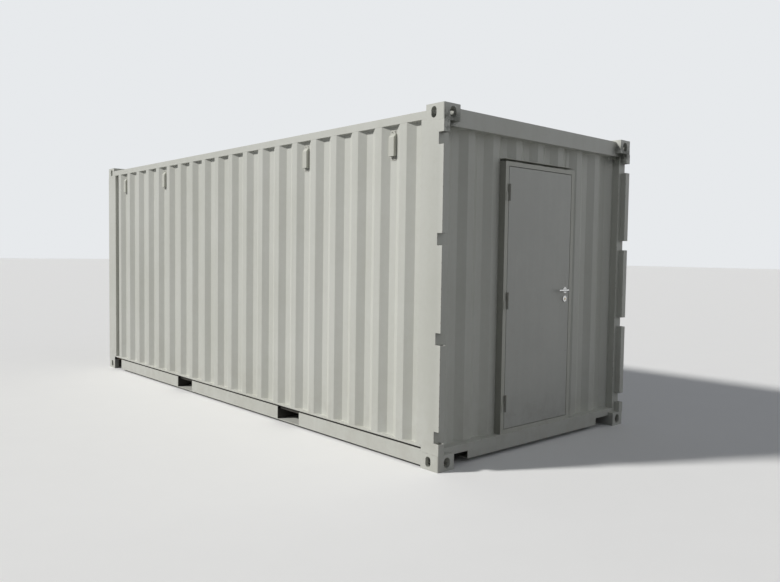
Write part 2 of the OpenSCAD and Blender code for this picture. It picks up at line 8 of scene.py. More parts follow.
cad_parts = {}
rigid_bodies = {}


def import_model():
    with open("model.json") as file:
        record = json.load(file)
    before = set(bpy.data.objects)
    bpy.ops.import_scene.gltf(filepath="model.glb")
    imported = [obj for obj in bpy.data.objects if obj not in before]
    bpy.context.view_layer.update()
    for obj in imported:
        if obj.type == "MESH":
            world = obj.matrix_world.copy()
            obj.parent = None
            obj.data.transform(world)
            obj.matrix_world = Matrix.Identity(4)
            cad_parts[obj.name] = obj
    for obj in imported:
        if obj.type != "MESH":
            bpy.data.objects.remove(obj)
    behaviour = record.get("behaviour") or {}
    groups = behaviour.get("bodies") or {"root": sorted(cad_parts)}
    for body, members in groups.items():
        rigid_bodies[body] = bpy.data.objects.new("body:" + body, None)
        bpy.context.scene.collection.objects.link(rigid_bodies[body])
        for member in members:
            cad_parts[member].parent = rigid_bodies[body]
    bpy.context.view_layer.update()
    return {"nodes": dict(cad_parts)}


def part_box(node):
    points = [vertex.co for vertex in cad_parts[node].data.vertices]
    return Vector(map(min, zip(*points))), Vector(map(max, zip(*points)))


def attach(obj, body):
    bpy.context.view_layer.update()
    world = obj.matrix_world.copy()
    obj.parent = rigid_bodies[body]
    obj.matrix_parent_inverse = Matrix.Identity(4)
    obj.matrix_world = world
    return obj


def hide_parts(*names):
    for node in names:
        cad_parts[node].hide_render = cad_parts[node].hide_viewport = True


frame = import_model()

# Corner castings
# Eight hollow blocks of cast steel with oval apertures for twist locks and hooks. They are sand cast,
# ground where they meet the posts and rails, welded on and sprayed with the rest of the container.
CASTINGS = [
    f"casting_{level}_{end}_{side}"
    for level in ("bottom", "top")
    for end in ("door", "blank")
    for side in ("left", "right")
]
CREAM_GREY = (0.560, 0.567, 0.524, 1)
RUST = (0.150, 0.060, 0.028, 1)
PRIMER = (0.115, 0.060, 0.045, 1)
ROAD_DUST = (0.340, 0.310, 0.260, 1)
MILDEW = (0.050, 0.056, 0.040, 1)
# The black underseal below also serves as painted shade in grooves and pockets; the dark soil colour after
# it serves for rust washes and darker knuckles, and as painted shade beside the door frame.
UNDERSEAL_AND_SHADE = (0.026, 0.024, 0.020, 1)
SOIL_AND_SHADE = (0.120, 0.118, 0.105, 1)
# Each of these is a pair of places between which the dust or the stain comes or goes.
DUST_HEIGHT, STAIN_FOOT, STAIN_HEAD = (0.03, 0.75), (2.33, 2.46), (2.50, 2.58)
STAIN_ACROSS, STAIN_STOP, STAIN_BEHIND = (0.96, 1.10), (1.212, 1.216), (-2.90, -2.82)
JOINED_WITHIN, FLAT_WITHIN, CREASED_OVER = 2e-5, math.radians(0.5), math.radians(15.0)


class Wire:
    """A socket that takes part in sums with numbers and other sockets."""

    def __init__(self, net, socket):
        self.net = net
        self.socket = socket

    def math(self, operation, a, b=0.0):
        return self.net.node("ShaderNodeMath", {0: a, 1: b}, operation=operation)

    def __add__(self, other):
        return self.math("ADD", self, other)

    def __radd__(self, other):
        return self.math("ADD", other, self)

    def __sub__(self, other):
        return self.math("SUBTRACT", self, other)

    def __rsub__(self, other):
        return self.math("SUBTRACT", other, self)

    def __mul__(self, other):
        return self.math("MULTIPLY", self, other)

    def __rmul__(self, other):
        return self.math("MULTIPLY", other, self)

    def __truediv__(self, other):
        return self.math("DIVIDE", self, other)

    def __pow__(self, other):
        return self.math("POWER", self, other)

    def __gt__(self, other):
        return self.math("GREATER_THAN", self, other)

    def __abs__(self):
        return self.math("ABSOLUTE", self)

    def __mod__(self, other):
        return self.math("FLOORED_MODULO", self, other)

    def floor(self):
        return self.math("FLOOR", self)

    def least(self, other):
        return self.math("MINIMUM", self, other)

    def most(self, other):
        return self.math("MAXIMUM", self, other)


class Net:
    """A node tree, for a finish or for a shape, and the one way in which its nodes are made."""

    def __init__(self, tree):
        self.tree = tree

    def node(self, kind, sockets=(), out=0, **settings):
        made = self.tree.nodes.new(kind)
        for name, value in settings.items():
            if name == "stops":
                for _ in range(len(value) - len(made.color_ramp.elements)):
                    made.color_ramp.elements.new(1)
                for element, (place, colour) in zip(made.color_ramp.elements, value):
                    element.position = place
                    element.color = colour
            else:
                setattr(made, name, value)
        for key, value in dict(sockets).items():
            if isinstance(value, Wire):
                self.tree.links.new(value.socket, made.inputs[key])
            else:
                made.inputs[key].default_value = value
        return Wire(self, made.outputs[out]) if made.outputs else made


class Finish(Net):
    """A material's tree: a Principled shader, a bump and the patterns that feed them."""

    def __init__(self, name, **constants):
        self.material = bpy.data.materials.new(name)
        self.material.use_nodes = True
        super().__init__(self.material.node_tree)
        self.shader = self.tree.nodes["Principled BSDF"]
        for socket, value in constants.items():
            self.shader.inputs[socket.replace("_", " ")].default_value = value
        self.place = self.node("ShaderNodeTexCoord", out="Object")
        self.across, self.along, self.height = (
            self.node("ShaderNodeSeparateXYZ", {0: self.place}, out=axis) for axis in "XYZ"
        )

    def stretched(self, x, y, z, shift=0.0):
        """The place, scaled on each axis so that a pattern runs long or short that way."""
        return self.node(
            "ShaderNodeMapping",
            {"Vector": self.place, "Location": (shift, shift, shift), "Scale": (x, y, z)},
        )

    def noise(self, scale, detail=3.0, rough=0.55, place=None):
        return self.node(
            "ShaderNodeTexNoise",
            {"Vector": place or self.place, "Scale": scale, "Detail": detail, "Roughness": rough},
        )

    def band(self, value, low, high):
        """0 under low, 1 over high, and smooth between them."""
        return self.node(
            "ShaderNodeMapRange",
            {"Value": value, "From Min": low, "From Max": high},
            interpolation_type="SMOOTHSTEP",
        )

    def blend(self, share, first, second):
        return self.node("ShaderNodeMix", {0: share, 6: first, 7: second}, out=2, data_type="RGBA")

    def worn_edge(self):
        return self.node("ShaderNodeAttribute", out="Fac", attribute_name="edge")

    def feed(self, **links):
        for socket, wire in links.items():
            self.tree.links.new(wire.socket, self.shader.inputs[socket.replace("_", " ")])

    def bump(self, relief, distance):
        raised = self.node("ShaderNodeBump", {"Height": relief, "Distance": distance, "Strength": 1.0})
        self.feed(Normal=raised)


def toned(colour, *shares):
    """A colour made lighter or darker, by one share or by one for each channel."""
    return tuple(channel * share for channel, share in zip(colour[:3], shares * 3)) + (1,)


def sprayed_steel(
    name, colour, relief=0.0004, relief_scale=260.0, chips=0.5, dust=0.22, gloss=0.42,
    sealed_and_shaded=None, soiled_and_shaded=None,
):
    """Container paint: an even coat with runs, chips at worn edges, dust near the ground and a dark
    stain where water drips off the header's ends. One function may say where it is coated in black
    underseal, which in the rails' groove and in the fork pockets also stands in as painted shade, and
    another where it is darker: rust on vent flanges, painted shade beside the door frame, dark knuckles."""
    coat = Finish(name, Metallic=0.0, IOR=1.5)
    cloud = coat.noise(1.1, 4.0, 0.6)
    mottle = coat.noise(23.0, 5.0, 0.62)
    runs = coat.noise(9.0, 4.0, 0.6, coat.stretched(1.0, 1.0, 0.06, 3.1))
    shade = coat.band(cloud * 0.55 + mottle * 0.2 + runs * 0.25, 0.32, 0.68)
    tone = coat.blend(shade, toned(colour, 0.925, 0.925, 0.900), toned(colour, 1.035))
    speck = coat.band(coat.noise(310.0, 3.0, 0.7), 0.70, 0.76) * 0.28
    tone = coat.blend(speck, tone, toned(colour, 0.62))
    low = (1 - coat.band(coat.height, *DUST_HEIGHT)) * coat.band(coat.noise(6.5, 6.0, 0.65), 0.38, 0.72)
    tone = coat.blend(low * dust, tone, ROAD_DUST)
    breaks = coat.band(coat.noise(38.0, 6.0, 0.7), 0.60 - 0.10 * chips, 0.67 - 0.10 * chips)
    chipped = coat.worn_edge() * breaks * chips
    spots = coat.band(coat.noise(85.0, 2.0, 0.5), 0.755, 0.785) * coat.band(cloud, 0.50, 0.60)
    bare = chipped.most(spots * (0.7 * chips))
    tone = coat.blend(bare, tone, coat.blend(coat.noise(160.0), RUST, PRIMER))
    off_middle = abs(coat.across)
    corner = coat.band(off_middle, *STAIN_ACROSS) * (1 - coat.band(off_middle, *STAIN_STOP))
    drip = coat.band(coat.height, *STAIN_FOOT) * (1 - coat.band(coat.height, *STAIN_HEAD))
    stain = corner * drip * (1 - coat.band(coat.along, *STAIN_BEHIND))
    stain = stain * coat.band(coat.noise(13.0, 6.0, 0.68), 0.36, 0.56)
    tone = coat.blend(stain * 0.85, tone, MILDEW)
    # Darker where a function says: rust on the vent flanges, painted shade beside the door frame, and the
    # hinges' knuckles.
    if soiled_and_shaded:
        tone = coat.blend(soiled_and_shaded(coat), tone, SOIL_AND_SHADE)
    rough = gloss + 0.10 * mottle + 0.35 * bare + 0.12 * low
    # Black underseal where a function says, standing in also for painted shade in grooves and pockets.
    if sealed_and_shaded:
        wax_and_shade = sealed_and_shaded(coat)
        tone = coat.blend(wax_and_shade, tone, coat.blend(low * 0.25, UNDERSEAL_AND_SHADE, ROAD_DUST))
        rough = rough + 0.25 * wax_and_shade
    peel = coat.noise(relief_scale, 2.0, 0.5)
    coat.feed(Base_Color=tone, Roughness=rough)
    coat.bump(peel * 0.5 + mottle * 0.9 + runs * 0.5 - bare * 0.8, relief)
    return coat.material


def eased(node, width, body="shell", segments=2, angle=30.0):
    """A copy of a CAD piece whose convex edges are rounded, with the new strips marked for wear."""
    shape = bmesh.new()
    shape.from_mesh(frame["nodes"][node].data)
    bmesh.ops.remove_doubles(shape, verts=shape.verts, dist=JOINED_WITHIN)
    bmesh.ops.dissolve_limit(shape, angle_limit=FLAT_WITHIN, verts=shape.verts, edges=shape.edges)
    sharp = [
        e for e in shape.edges
        if e.is_manifold and e.is_convex and e.calc_face_angle(0) > math.radians(angle)
    ]
    strips = bmesh.ops.bevel(
        shape, geom=sharp, offset=width, offset_type="OFFSET", segments=segments,
        profile=0.5, affect="EDGES", clamp_overlap=True,
    )["faces"]
    mark = shape.loops.layers.float.new("edge")
    for face in strips:
        for loop in face.loops:
            loop[mark] = 1.0
    for face in shape.faces:
        face.smooth = True
    mesh = bpy.data.meshes.new(node + "_eased")
    shape.to_mesh(mesh)
    shape.free()
    mesh.set_sharp_from_angle(angle=CREASED_OVER)
    piece = bpy.data.objects.new(node + "_eased", mesh)
    bpy.context.scene.collection.objects.link(piece)
    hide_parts(node)
    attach(piece, body)
    return piece


def coated(piece, material):
    """The piece again, with this one material."""
    piece.data.materials.clear()
    piece.data.materials.append(material)
    return piece


cast_paint = sprayed_steel("cast_paint", CREAM_GREY, relief=0.0011, relief_scale=150.0, chips=0.8)
for name in CASTINGS:
    coated(eased(name, 0.0035), cast_paint)

# Posts of both ends
# The door end has hollow posts with a stepped nose, cut out where the cargo doors' hinges sat, and the
# blank end has folded plate. All are pressed from 6 mm steel and welded between the castings, with a
# bead along the inner faces and the outer ones ground flush.
HALF_W, HALF_L = 1.219, 3.029
WELD, UNEVEN, BEAD_STEP = 0.0034, 0.35, 0.006
# A post's inner faces as a line of points, each by its distance from the side and from the end.
INNER_FACES = {
    "door": [(0.060, 0.012), (0.060, 0.049), (0.100, 0.049), (0.100, 0.106)],
    "blank": [(0.006, 0.172), (0.006, 0.006), (0.158, 0.006)],
}


class Shape(Net):
    """A Geometry Nodes tree with named inputs for its sizes, and a source mesh."""

    def __init__(self, name, **sizes):
        super().__init__(bpy.data.node_groups.new(name, "GeometryNodeTree"))
        face = self.tree.interface
        face.new_socket("Geometry", in_out="OUTPUT", socket_type="NodeSocketGeometry")
        kinds = {float: "NodeSocketFloat", int: "NodeSocketInt", bpy.types.Material: "NodeSocketMaterial"}
        face.new_socket("Source", in_out="INPUT", socket_type="NodeSocketGeometry")
        self.ids = {}
        for label, kind in sizes.items():
            self.ids[label] = face.new_socket(label, in_out="INPUT", socket_type=kinds[kind]).identifier
        self.start = self.tree.nodes.new("NodeGroupInput")
        self.end = self.tree.nodes.new("NodeGroupOutput")

    def size(self, label):
        return Wire(self, self.start.outputs[label])

    def point(self, x=0.0, y=0.0, z=0.0):
        return self.node("ShaderNodeCombineXYZ", {"X": x, "Y": y, "Z": z})

    def joined(self, *geometries):
        whole = self.node("GeometryNodeJoinGeometry", {0: geometries[0]})
        for more in geometries[1:]:
            self.tree.links.new(more.socket, whole.socket.node.inputs[0])
        return whole

    def bead(self, line, radius, uneven):
        """A round bead along a curve, whose width wanders as a welder's hand does."""
        line = self.node("GeometryNodeResampleCurve", {"Curve": line, "Length": BEAD_STEP}, mode="LENGTH")
        ring = self.node("GeometryNodeCurvePrimitiveCircle", {"Resolution": 6, "Radius": radius})
        wander = self.node("ShaderNodeTexNoise", {"Scale": 95.0, "Detail": 1.0})
        bead = self.node(
            "GeometryNodeCurveToMesh",
            {"Curve": line, "Profile Curve": ring, "Scale": 1 - uneven * wander, "Fill Caps": True},
        )
        return self.node("GeometryNodeSetShadeSmooth", {"Geometry": bead, "Shade Smooth": True})

    def done(self, geometry):
        whole = self.node("GeometryNodeRealizeInstances", {0: geometry})
        whole = self.node("GeometryNodeSetMaterial", {"Geometry": whole, "Material": self.size("Finish")})
        self.tree.links.new(whole.socket, self.end.inputs[0])
        return self

    def made(self, name, source=None, **values):
        """The tree's result for these sizes, as a plain mesh object at the origin."""
        holder = bpy.data.objects.new(name + "_holder", source or bpy.data.meshes.new(name))
        bpy.context.scene.collection.objects.link(holder)
        step = holder.modifiers.new(name, "NODES")
        step.node_group = self.tree
        for label, value in values.items():
            step[self.ids[label]] = value
        holder.update_tag()
        seen = bpy.context.evaluated_depsgraph_get()
        mesh = bpy.data.meshes.new_from_object(holder.evaluated_get(seen))
        holder.modifiers.remove(step)
        bpy.data.objects.remove(holder)
        mesh.name = name
        piece = bpy.data.objects.new(name, mesh)
        bpy.context.scene.collection.objects.link(piece)
        return piece


def bead_tree():
    """Beads along a source mesh's edges: welds where uneven, and the rubber seal where even."""
    tree = Shape("beads", Radius=float, Uneven=float, Finish=bpy.types.Material)
    line = tree.node("GeometryNodeMeshToCurve", {"Mesh": tree.size("Source")})
    return tree.done(tree.bead(line, tree.size("Radius"), tree.size("Uneven")))


beads = bead_tree()


def along_runs(name, runs, radius, uneven, finish, body="shell"):
    """Beads along straight runs, each from one point to another."""
    mesh = bpy.data.meshes.new(name + "_runs")
    pairs = [(2 * i, 2 * i + 1) for i in range(len(runs))]
    mesh.from_pydata([point for run in runs for point in run], pairs, [])
    piece = beads.made(name, source=mesh, Radius=radius, Uneven=uneven, Finish=finish)
    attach(piece, body)


post_paint = sprayed_steel("post_paint", CREAM_GREY, chips=0.6)
runs = []
for side, across in (("left", -1), ("right", 1)):
    for end, along in (("door", -1), ("blank", 1)):
        coated(eased(f"{end}_post_{side}", 0.0022), post_paint)
        line = [(across * (HALF_W - x), along * (HALF_L - y)) for x, y in INNER_FACES[end]]
        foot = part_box(f"casting_bottom_{end}_{side}")[1].z
        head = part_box(f"casting_top_{end}_{side}")[0].z
        for z in (foot, head):
            runs += [[(*start, z), (*stop, z)] for start, stop in zip(line, line[1:])]
along_runs("post_welds", runs, WELD, UNEVEN, post_paint)

# Rails, header and sill
# Square tube along the roof's sides, cold formed sections along the floor, a box header over the door
# end and a pressed sill under it. They are welded between castings and posts, and the floor's rails are
# coated with black wax inside; the same black in their groove is painted shade.
RAIL_FACE, LIP_TOP = (1.2105, 1.2125), (0.1602, 0.1610)


def underseal_and_groove_shade(coat):
    """Black underseal inside the bottom rails' outer faces, and painted shade in their groove under the top
    of their lips.
    """
    return (1 - coat.band(abs(coat.across), *RAIL_FACE)) * (1 - coat.band(coat.height, *LIP_TOP))


rail_paint = sprayed_steel("rail_paint", CREAM_GREY, chips=0.55)
for name in ("top_side_rails", "door_header", "door_sill", "blank_top_rail", "blank_bottom_rail"):
    coated(eased(name, 0.0018), rail_paint)
floor_rail_paint = sprayed_steel("floor_rail_paint", CREAM_GREY, chips=0.55, sealed_and_shaded=underseal_and_groove_shade)
for name in ("bottom_rail_left", "bottom_rail_right", "bottom_web_left", "bottom_web_right"):
    coated(eased(name, 0.0015), floor_rail_paint)

# Underframe
# Channel section cross members and two fork pockets of plate, welded between the bottom side rails.
# All of it is coated with black wax, apart from the straps under the pockets' ends; inside the pockets
# the black also stands in as painted shade.
STRAP_TOP = (0.0262, 0.0268)


# Black underseal above the straps, which inside the fork pockets is also painted shade.
def underseal_and_pocket_shade(coat):
    return coat.band(coat.height, *STRAP_TOP)


under_coat = sprayed_steel("under_coat", CREAM_GREY, chips=0.9, gloss=0.5, sealed_and_shaded=underseal_and_pocket_shade)
for name in ("cross_members", "fork_pocket_door_end", "fork_pocket_blank_end"):
    coated(eased(name, 0.0009), under_coat)

# Floor boards
# Plywood panels of 28 mm laid across the cross members and screwed down, with a shadow line at each
# joint. The faces are worn by boots and pallets.
PANEL_ROWS, PANEL_GAP, PANEL_EDGE = 5, 0.002, 0.0012
VENEER_DARK, VENEER, VENEER_PALE, SCUFFED = (
    (0.150, 0.082, 0.040, 1), (0.262, 0.160, 0.084, 1), (0.345, 0.228, 0.128, 1), (0.205, 0.175, 0.140, 1),
)


def plywood():
    wood = Finish("plywood", Metallic=0.0, IOR=1.45)
    grain = wood.noise(7.0, 8.0, 0.62, wood.stretched(9.0, 0.5, 1.0))
    fibre = wood.noise(60.0, 4.0, 0.6, wood.stretched(6.0, 0.3, 1.0))
    scuffs = wood.band(wood.noise(2.2, 7.0, 0.7), 0.48, 0.66)
    tone = wood.node(
        "ShaderNodeValToRGB", {0: grain * 0.75 + fibre * 0.25},
        stops=[(0.30, VENEER_DARK), (0.52, VENEER), (0.74, VENEER_PALE)],
    )
    tone = wood.blend(scuffs * 0.45, tone, SCUFFED)
    wood.feed(Base_Color=tone, Roughness=0.52 + 0.25 * scuffs)
    wood.bump(grain * 0.6 + fibre * 0.4, 0.0006)
    return wood.material


def object_from(shape, name):
    """A finished shape as an object at the origin."""
    mesh = bpy.data.meshes.new(name)
    shape.to_mesh(mesh)
    shape.free()
    made = bpy.data.objects.new(name, mesh)
    bpy.context.scene.collection.objects.link(made)
    return made


floor_lo, floor_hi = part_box("floor_boards")
boards = bmesh.new()
rows = [floor_lo.y + (floor_hi.y - floor_lo.y) * i / PANEL_ROWS for i in range(PANEL_ROWS + 1)]
columns = [floor_lo.x, (floor_lo.x + floor_hi.x) / 2, floor_hi.x]
for y0, y1 in zip(rows, rows[1:]):
    for x0, x1 in zip(columns, columns[1:]):
        size = Vector((x1 - x0 - PANEL_GAP, y1 - y0 - PANEL_GAP, floor_hi.z - floor_lo.z))
        middle = Vector(((x0 + x1) / 2, (y0 + y1) / 2, (floor_lo.z + floor_hi.z) / 2))
        bmesh.ops.create_cube(boards, matrix=Matrix.LocRotScale(middle, None, size))
bmesh.ops.bevel(boards, geom=boards.edges[:], offset=PANEL_EDGE, segments=1, affect="EDGES")
panels = object_from(boards, "floor_panels")
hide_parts("floor_boards")
coated(panels, plywood())
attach(panels, "shell")

# Corrugated walls
# Sheet of 2 mm pressed into trapezoidal corrugations with rounded bends, 36 mm deep at 278 mm pitch.
# It is welded to the rails and posts all round, which leaves it very slightly wavy.
PITCH, OUTER_FLAT, SLOPE, DEPTH, SHEET = 0.278, 0.072, 0.068, 0.036, 0.002
FIRST_RECESS, HALF_INNER_FLAT, DOOR_END_FLAT = 0.273, 0.035, -0.808
BEND, BEND_POINTS, UPRIGHT_POINTS, TINY = 0.011, 5, 24, 1e-4
SIDE_WAVE, END_WAVE = 0.0012, 0.0008


def corrugated_tree():
    """Control points of a trapezoidal profile, rounded, drawn up to a sheet and given its thickness."""
    tree = Shape(
        "corrugated_sheet", Begin=float, Finish_At=float, Flat_Middle=float, Corner=int, Points=int,
        Bottom=float, Top=float, Wave=float, Turn=float, Shift_X=float, Shift_Y=float,
        Finish=bpy.types.Material,
    )

    def depth_at(place):
        off_flat = abs((place - tree.size("Flat_Middle") + PITCH / 2) % PITCH - PITCH / 2)
        return ((off_flat - OUTER_FLAT / 2) / SLOPE).most(0.0).least(1.0) * DEPTH

    index = tree.node("GeometryNodeInputIndex")
    last = tree.size("Points") - 1
    corner = index - 1 + tree.size("Corner")
    side = corner % 4
    from_middle = OUTER_FLAT / 2 + SLOPE * (abs(side - 1.5) > 1.0)
    raw = tree.size("Flat_Middle") + (corner / 4).floor() * PITCH + from_middle * (2 * (side > 1.5) - 1)
    first_one, last_one = 1 - (index > 0.5), index > (last - 0.5)
    inner = (1 - first_one) * (1 - last_one)
    along = raw * inner + tree.size("Begin") * first_one + tree.size("Finish_At") * last_one
    line = tree.node("GeometryNodeMeshLine", {"Count": tree.size("Points")}, mode="OFFSET")
    line = tree.node(
        "GeometryNodeSetPosition", {"Geometry": line, "Position": tree.point(along, depth_at(along))},
    )
    line = tree.node("GeometryNodeMeshToCurve", {"Mesh": line})
    line = tree.node("GeometryNodeSetCurveNormal", {"Curve": line}, mode="Z_UP")
    line = tree.node(
        "GeometryNodeFilletCurve",
        {"Curve": line, "Count": BEND_POINTS, "Radius": BEND, "Limit Radius": True}, mode="POLY",
    )
    low, high = tree.point(y=0 - tree.size("Bottom")), tree.point(y=0 - tree.size("Top"))
    upright = tree.node("GeometryNodeCurvePrimitiveLine", {"Start": high, "End": low})
    upright = tree.node("GeometryNodeResampleCurve", {"Curve": upright, "Count": UPRIGHT_POINTS})
    sheet = tree.node("GeometryNodeCurveToMesh", {"Curve": line, "Profile Curve": upright})
    ripple = tree.node("ShaderNodeTexNoise", {"Scale": 1.7, "Detail": 1.0})
    sheet = tree.node(
        "GeometryNodeSetPosition",
        {"Geometry": sheet, "Offset": tree.point(y=ripple * tree.size("Wave"))},
    )
    back = tree.node("GeometryNodeFlipFaces", {"Mesh": sheet})
    back = tree.node(
        "GeometryNodeExtrudeMesh", {"Mesh": back, "Offset Scale": SHEET, "Individual": False}, mode="FACES",
    )
    both = tree.node(
        "GeometryNodeMergeByDistance", {"Geometry": tree.joined(back, sheet), "Distance": TINY / 2},
    )
    parts = [tree.node("GeometryNodeSetShadeSmooth", {"Geometry": both, "Shade Smooth": False})]
    place = tree.node("GeometryNodeInputPosition")
    ahead, depth = (tree.node("ShaderNodeSeparateXYZ", {0: place}, out=axis) for axis in "XY")
    seam = tree.node(
        "GeometryNodeSetPosition", {"Geometry": line, "Position": tree.point(ahead, depth.most(WELD))},
    )
    seam = tree.bead(seam, WELD, UNEVEN)
    for level in ("Bottom", "Top"):
        at_level = tree.point(z=tree.size(level))
        parts.append(tree.node("GeometryNodeTransform", {"Geometry": seam, "Translation": at_level}))
    for stop in ("Begin", "Finish_At"):
        x = tree.size(stop)
        y = depth_at(x).most(WELD)
        ends = {"Start": tree.point(x, y, tree.size("Bottom")), "End": tree.point(x, y, tree.size("Top"))}
        parts.append(tree.bead(tree.node("GeometryNodeCurvePrimitiveLine", ends), WELD, UNEVEN))
    shift, turn = tree.point(tree.size("Shift_X"), tree.size("Shift_Y")), tree.point(z=tree.size("Turn"))
    both = tree.node(
        "GeometryNodeTransform", {"Geometry": tree.joined(*parts), "Translation": shift, "Rotation": turn},
    )
    return tree.done(both)


corrugated = corrugated_tree()
wall_paint = sprayed_steel("wall_paint", CREAM_GREY, chips=0.35)


def corrugated_wall(name, node, x0, x1, middle, z0, z1, turn, shift, wave):
    """A wall from x0 to x1 in its own line, with an outer flat's middle somewhere on that line. The
    bends are numbered four to a pitch, and the sheet takes those that lie between its ends."""

    def bend_at(number):
        side = number % 4
        reach = OUTER_FLAT / 2 + (SLOPE if side in (0, 3) else 0.0)
        return middle + (number // 4) * PITCH + (reach if side > 1 else -reach)

    first = 4 * math.floor((x0 - middle) / PITCH - 2)
    while bend_at(first) <= x0 + TINY:
        first += 1
    count = 0
    while bend_at(first + count) < x1 - TINY:
        count += 1
    wall = corrugated.made(
        name, Begin=x0, Finish_At=x1, Flat_Middle=middle, Corner=first, Points=count + 2,
        Bottom=z0, Top=z1, Wave=wave, Turn=turn, Shift_X=shift[0], Shift_Y=shift[1], Finish=wall_paint,
    )
    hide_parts(node)
    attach(wall, "shell")


side_lo, side_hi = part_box("side_wall_left")
first_flat = FIRST_RECESS + HALF_INNER_FLAT + SLOPE + OUTER_FLAT / 2 - HALF_L
for side, turn, sign in (("left", -math.pi / 2, -1), ("right", math.pi / 2, 1)):
    ends = sorted((sign * side_lo.y, sign * side_hi.y))
    corrugated_wall(
        f"side_sheet_{side}", f"side_wall_{side}", ends[0], ends[1], sign * first_flat,
        side_lo.z, side_hi.z, turn, (sign * HALF_W, 0.0), SIDE_WAVE,
    )
blank_lo, blank_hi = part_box("blank_end_wall")
corrugated_wall(
    "blank_end_sheet", "blank_end_wall", blank_lo.x, blank_hi.x, 0.0,
    blank_lo.z, blank_hi.z, math.pi, (0.0, HALF_L), SIDE_WAVE,
)
for part in ("left", "right", "over_door"):
    lo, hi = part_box("end_wall_" + part)
    corrugated_wall(
        "end_sheet_" + part, "end_wall_" + part, lo.x, hi.x, DOOR_END_FLAT,
        lo.z, hi.z, 0.0, (0.0, lo.y), END_WAVE,
    )

# Roof
# One sheet of 2 mm with shallow ribs pressed across it, welded to the rails and the end plates and
# sprayed with the walls.
roof_paint = sprayed_steel("roof_paint", CREAM_GREY, chips=0.5)
coated(eased("roof_panel", 0.0009, segments=1, angle=40.0), roof_paint)

# Side vents
# Folded hoods over small holes in the wall, open underneath. Each has a flange above and below, which
# lies on the recess and is held by two blind rivets that have begun to rust.
VENT_PLACES, VENT_MIDDLE = (-2.478, -1.366, 1.414, 2.526), 2.349
FLANGE_LEVELS, FLANGE_REACH = ((2.236, 2.266), (2.433, 2.462)), (0.0825, 0.0850)
FLANGE_HALF_W, FLANGE_T, RIVET_ACROSS, RIVET_OUT = 0.0285, 0.0015, 0.017, 0.0022
SHOULDER, NARROWED, TAPER = 0.45, 0.72, 0.9


def head_tree():
    """A fastener's head on each of the source mesh's points, dished or recessed on top."""
    tree = Shape(
        "heads", Radius=float, Rise=float, Hole=float, Deep=float, Turn_X=float, Turn_Y=float,
        Finish=bpy.types.Material,
    )
    rise = tree.size("Rise")
    disc = tree.node(
        "GeometryNodeMeshCylinder", {"Vertices": 16, "Radius": tree.size("Radius"), "Depth": rise},
    )
    cylinder = disc.socket.node
    top = Wire(tree, cylinder.outputs["Top"])

    def drawn(mesh, face, reach, size):
        """The mesh with this face pushed out or in and then scaled, and the face that results."""
        step = tree.node(
            "GeometryNodeExtrudeMesh",
            {"Mesh": mesh, "Selection": face, "Offset Scale": reach, "Individual": False}, mode="FACES",
        ).socket.node
        face = Wire(tree, step.outputs["Top"])
        mesh = tree.node(
            "GeometryNodeScaleElements",
            {"Geometry": Wire(tree, step.outputs["Mesh"]), "Selection": face, "Scale": size}, domain="FACE",
        )
        return mesh, face

    head, top = drawn(disc, top, rise * SHOULDER, NARROWED)
    head, top = drawn(head, top, 0.0, tree.size("Hole"))
    head, top = drawn(head, top, 0 - tree.size("Deep"), TAPER)
    head = tree.node("GeometryNodeSetShadeSmooth", {"Geometry": head, "Shade Smooth": False})
    turn = tree.point(tree.size("Turn_X"), tree.size("Turn_Y"))
    placed = tree.node(
        "GeometryNodeInstanceOnPoints", {"Points": tree.size("Source"), "Instance": head, "Rotation": turn},
    )
    return tree.done(placed)


heads = head_tree()


def heads_at(
    name, points, finish, slot, body="shell", radius=0.004, rise=0.0016, hole=0.5, deep=0.0008,
    turn=(0.0, 0.0),
):
    """Rivets or screws of one kind as one piece, turned about X and Y to face outwards."""
    mesh = bpy.data.meshes.new(name + "_points")
    mesh.from_pydata(points, [], [])
    piece = heads.made(
        name, source=mesh, Radius=radius, Rise=rise, Hole=hole, Deep=deep, Turn_X=turn[0], Turn_Y=turn[1],
        Finish=finish,
    )
    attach(piece, body)


def plate(shape, x0, x1, y0, y1, z0, z1, ease=0.0):
    """A flat plate between two corners, with eased edges, drawn into a shape with others."""
    size, middle = Vector((x1 - x0, y1 - y0, z1 - z0)), Vector((x0 + x1, y0 + y1, z0 + z1)) / 2
    made = bmesh.ops.create_cube(shape, matrix=Matrix.LocRotScale(middle, None, size))["verts"]
    if ease:
        edges = list({edge for vert in made for edge in vert.link_edges})
        bmesh.ops.bevel(shape, geom=edges, offset=ease, segments=2, profile=0.5, affect="EDGES")


def washed_flanges(coat):
    """Rust from the rivets, washed over the two flanges of each vent."""
    on_flanges = coat.band(abs(coat.height - VENT_MIDDLE), *FLANGE_REACH)
    return on_flanges * coat.band(coat.noise(70.0, 4.0, 0.65), 0.44, 0.60) * 0.55


